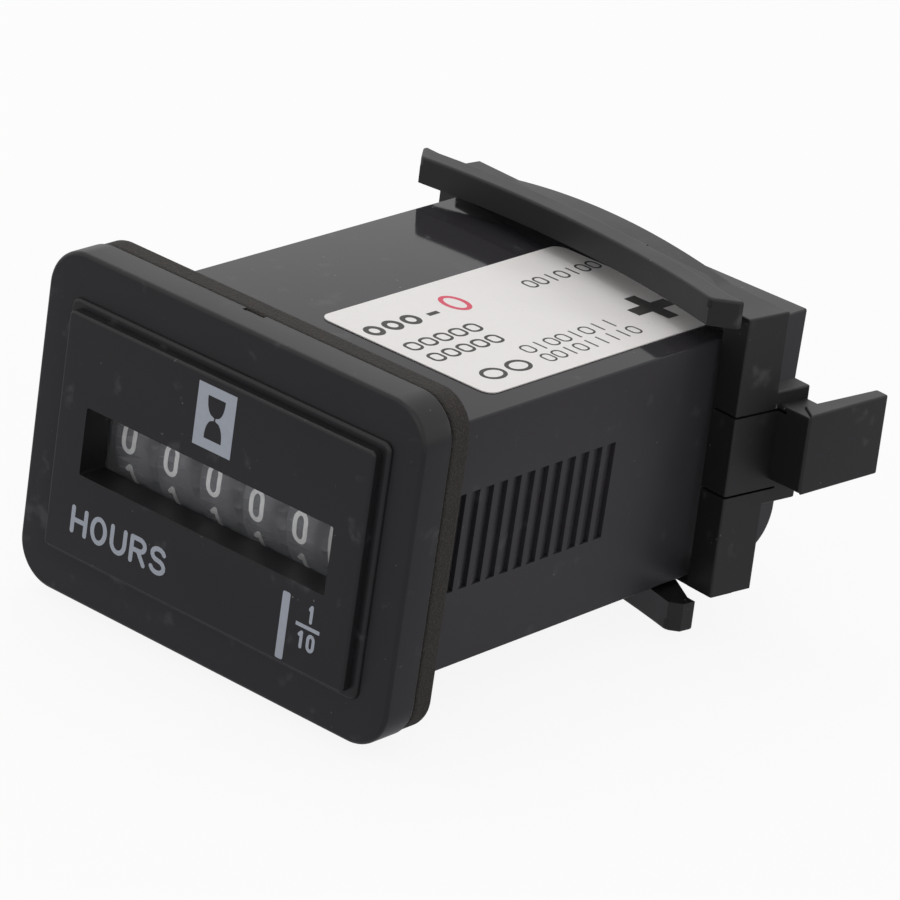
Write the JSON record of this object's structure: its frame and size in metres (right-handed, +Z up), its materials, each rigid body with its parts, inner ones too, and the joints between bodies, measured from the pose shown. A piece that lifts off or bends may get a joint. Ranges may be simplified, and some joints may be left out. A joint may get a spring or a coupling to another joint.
{
  "type": "hour meter",
  "caption": "Black panel-mount mechanical hour meter with number wheels behind a window and a sliding mounting clip.",
  "frame": {"origin": "middle of the bezel's rear face, the plane of the panel that the meter is fitted in", "axes": "+X right seen from the front, +Y to the rear along the case, +Z up"},
  "size_m": [0.0533, 0.0696, 0.0335],
  "materials": {
    "bezel_plastic": "satin black moulded plastic",
    "case_plastic": "glossy black moulded plastic",
    "clip_plastic": "matt black moulded plastic",
    "foam_rubber": "dark closed-cell foam",
    "clear_plastic": "clear sheet",
    "label_paper": "smooth white label",
    "wheel_grey": "dark grey moulded plastic with white print",
    "wheel_white": "white moulded plastic with black print",
    "acetal": "natural acetal",
    "bright_steel": "bright",
    "magnet_steel": "ground magnet",
    "tinned_brass": "tinned",
    "copper_wire": "enamelled wire",
    "board_laminate": "solder-masked board",
    "black_resin": "moulded resin",
    "resistor_ceramic": "coated"
  },
  "bodies": {
    "meter": {"bezel": "bezel_plastic", "window_lens": "clear_plastic", "panel_gasket": "foam_rubber", "case": "case_plastic", "rear_cover": "case_plastic", "rating_label": "label_paper", "positive_terminal": "tinned_brass", "negative_terminal": "tinned_brass", "left_side_plate": "bright_steel", "right_side_plate": "bright_steel", "gear_bridge": "bright_steel", "wheel_shaft": "bright_steel", "pinion_shaft": "bright_steel", "motor_stator": "bright_steel", "coil_bobbin": "acetal", "coil_winding": "copper_wire", "circuit_board": "board_laminate", "driver_chip": "black_resin", "quartz_crystal": "bright_steel", "smoothing_capacitor": "black_resin", "dropper_resistor": "resistor_ceramic", "protection_diode": "black_resin"},
    "clip": {"mounting_clip": "clip_plastic"},
    "tenths": {"tenths_wheel": "wheel_white"},
    "units": {"units_wheel": "wheel_grey"},
    "tens": {"tens_wheel": "wheel_grey"},
    "hundreds": {"hundreds_wheel": "wheel_grey"},
    "thousands": {"thousands_wheel": "wheel_grey"},
    "ten_thousands": {"ten_thousands_wheel": "wheel_grey"},
    "pinion_1": {"transfer_pinion_1": "acetal"},
    "pinion_2": {"transfer_pinion_2": "acetal"},
    "pinion_3": {"transfer_pinion_3": "acetal"},
    "pinion_4": {"transfer_pinion_4": "acetal"},
    "pinion_5": {"transfer_pinion_5": "acetal"},
    "drive": {"drive_gear": "acetal"},
    "intermediate": {"intermediate_gear": "acetal"},
    "rotor": {"motor_rotor": "magnet_steel"}
  },
  "joints": [
    {"name": "clip_slide", "type": "slide", "parent": "meter", "child": "clip", "axis": [0, 1, 0], "range_m": [-0.03, 0.014]},
    {"name": "tenths_turn", "type": "hinge", "parent": "meter", "child": "tenths", "pos_m": [0.01287, 0.006, -0.00047], "axis": [-1, 0, 0], "continuous": true},
    {"name": "units_turn", "type": "hinge", "parent": "meter", "child": "units", "pos_m": [0.00773, 0.006, -0.00047], "axis": [-1, 0, 0], "continuous": true},
    {"name": "tens_turn", "type": "hinge", "parent": "meter", "child": "tens", "pos_m": [0.00258, 0.006, -0.00047], "axis": [-1, 0, 0], "continuous": true},
    {"name": "hundreds_turn", "type": "hinge", "parent": "meter", "child": "hundreds", "pos_m": [-0.00258, 0.006, -0.00047], "axis": [-1, 0, 0], "continuous": true},
    {"name": "thousands_turn", "type": "hinge", "parent": "meter", "child": "thousands", "pos_m": [-0.00773, 0.006, -0.00047], "axis": [-1, 0, 0], "continuous": true},
    {"name": "ten_thousands_turn", "type": "hinge", "parent": "meter", "child": "ten_thousands", "pos_m": [-0.01287, 0.006, -0.00047], "axis": [-1, 0, 0], "continuous": true},
    {"name": "pinion_1_turn", "type": "hinge", "parent": "meter", "child": "pinion_1", "pos_m": [0.0103, 0.01384, -0.00047], "axis": [-1, 0, 0], "continuous": true},
    {"name": "pinion_2_turn", "type": "hinge", "parent": "meter", "child": "pinion_2", "pos_m": [0.00515, 0.01384, -0.00047], "axis": [-1, 0, 0], "continuous": true},
    {"name": "pinion_3_turn", "type": "hinge", "parent": "meter", "child": "pinion_3", "pos_m": [0, 0.01384, -0.00047], "axis": [-1, 0, 0], "continuous": true},
    {"name": "pinion_4_turn", "type": "hinge", "parent": "meter", "child": "pinion_4", "pos_m": [-0.00515, 0.01384, -0.00047], "axis": [-1, 0, 0], "continuous": true},
    {"name": "pinion_5_turn", "type": "hinge", "parent": "meter", "child": "pinion_5", "pos_m": [-0.0103, 0.01384, -0.00047], "axis": [-1, 0, 0], "continuous": true},
    {"name": "drive_turn", "type": "hinge", "parent": "meter", "child": "drive", "pos_m": [0.0144, 0.01346, 0.00196], "axis": [-1, 0, 0], "continuous": true},
    {"name": "intermediate_turn", "type": "hinge", "parent": "meter", "child": "intermediate", "pos_m": [0.0144, 0.02138, 0.00084], "axis": [-1, 0, 0], "continuous": true},
    {"name": "rotor_turn", "type": "hinge", "parent": "meter", "child": "rotor", "pos_m": [0.00765, 0.02938, 0.00084], "axis": [-1, 0, 0], "continuous": true}
  ],
  "couplings": [
    {"joint": "units_turn", "follows": "tenths_turn", "ratio": 0.1},
    {"joint": "tens_turn", "follows": "tenths_turn", "ratio": 0.01},
    {"joint": "hundreds_turn", "follows": "tenths_turn", "ratio": 0.001},
    {"joint": "thousands_turn", "follows": "tenths_turn", "ratio": 0.0001},
    {"joint": "ten_thousands_turn", "follows": "tenths_turn", "ratio": 0.00001},
    {"joint": "pinion_1_turn", "follows": "tenths_turn", "ratio": -0.25},
    {"joint": "pinion_2_turn", "follows": "tenths_turn", "ratio": -0.025},
    {"joint": "pinion_3_turn", "follows": "tenths_turn", "ratio": -0.0025},
    {"joint": "pinion_4_turn", "follows": "tenths_turn", "ratio": -0.00025},
    {"joint": "pinion_5_turn", "follows": "tenths_turn", "ratio": -0.000025},
    {"joint": "drive_turn", "follows": "tenths_turn", "ratio": -2.5},
    {"joint": "intermediate_turn", "follows": "tenths_turn", "ratio": 10},
    {"joint": "rotor_turn", "follows": "tenths_turn", "ratio": -40}
  ]
}
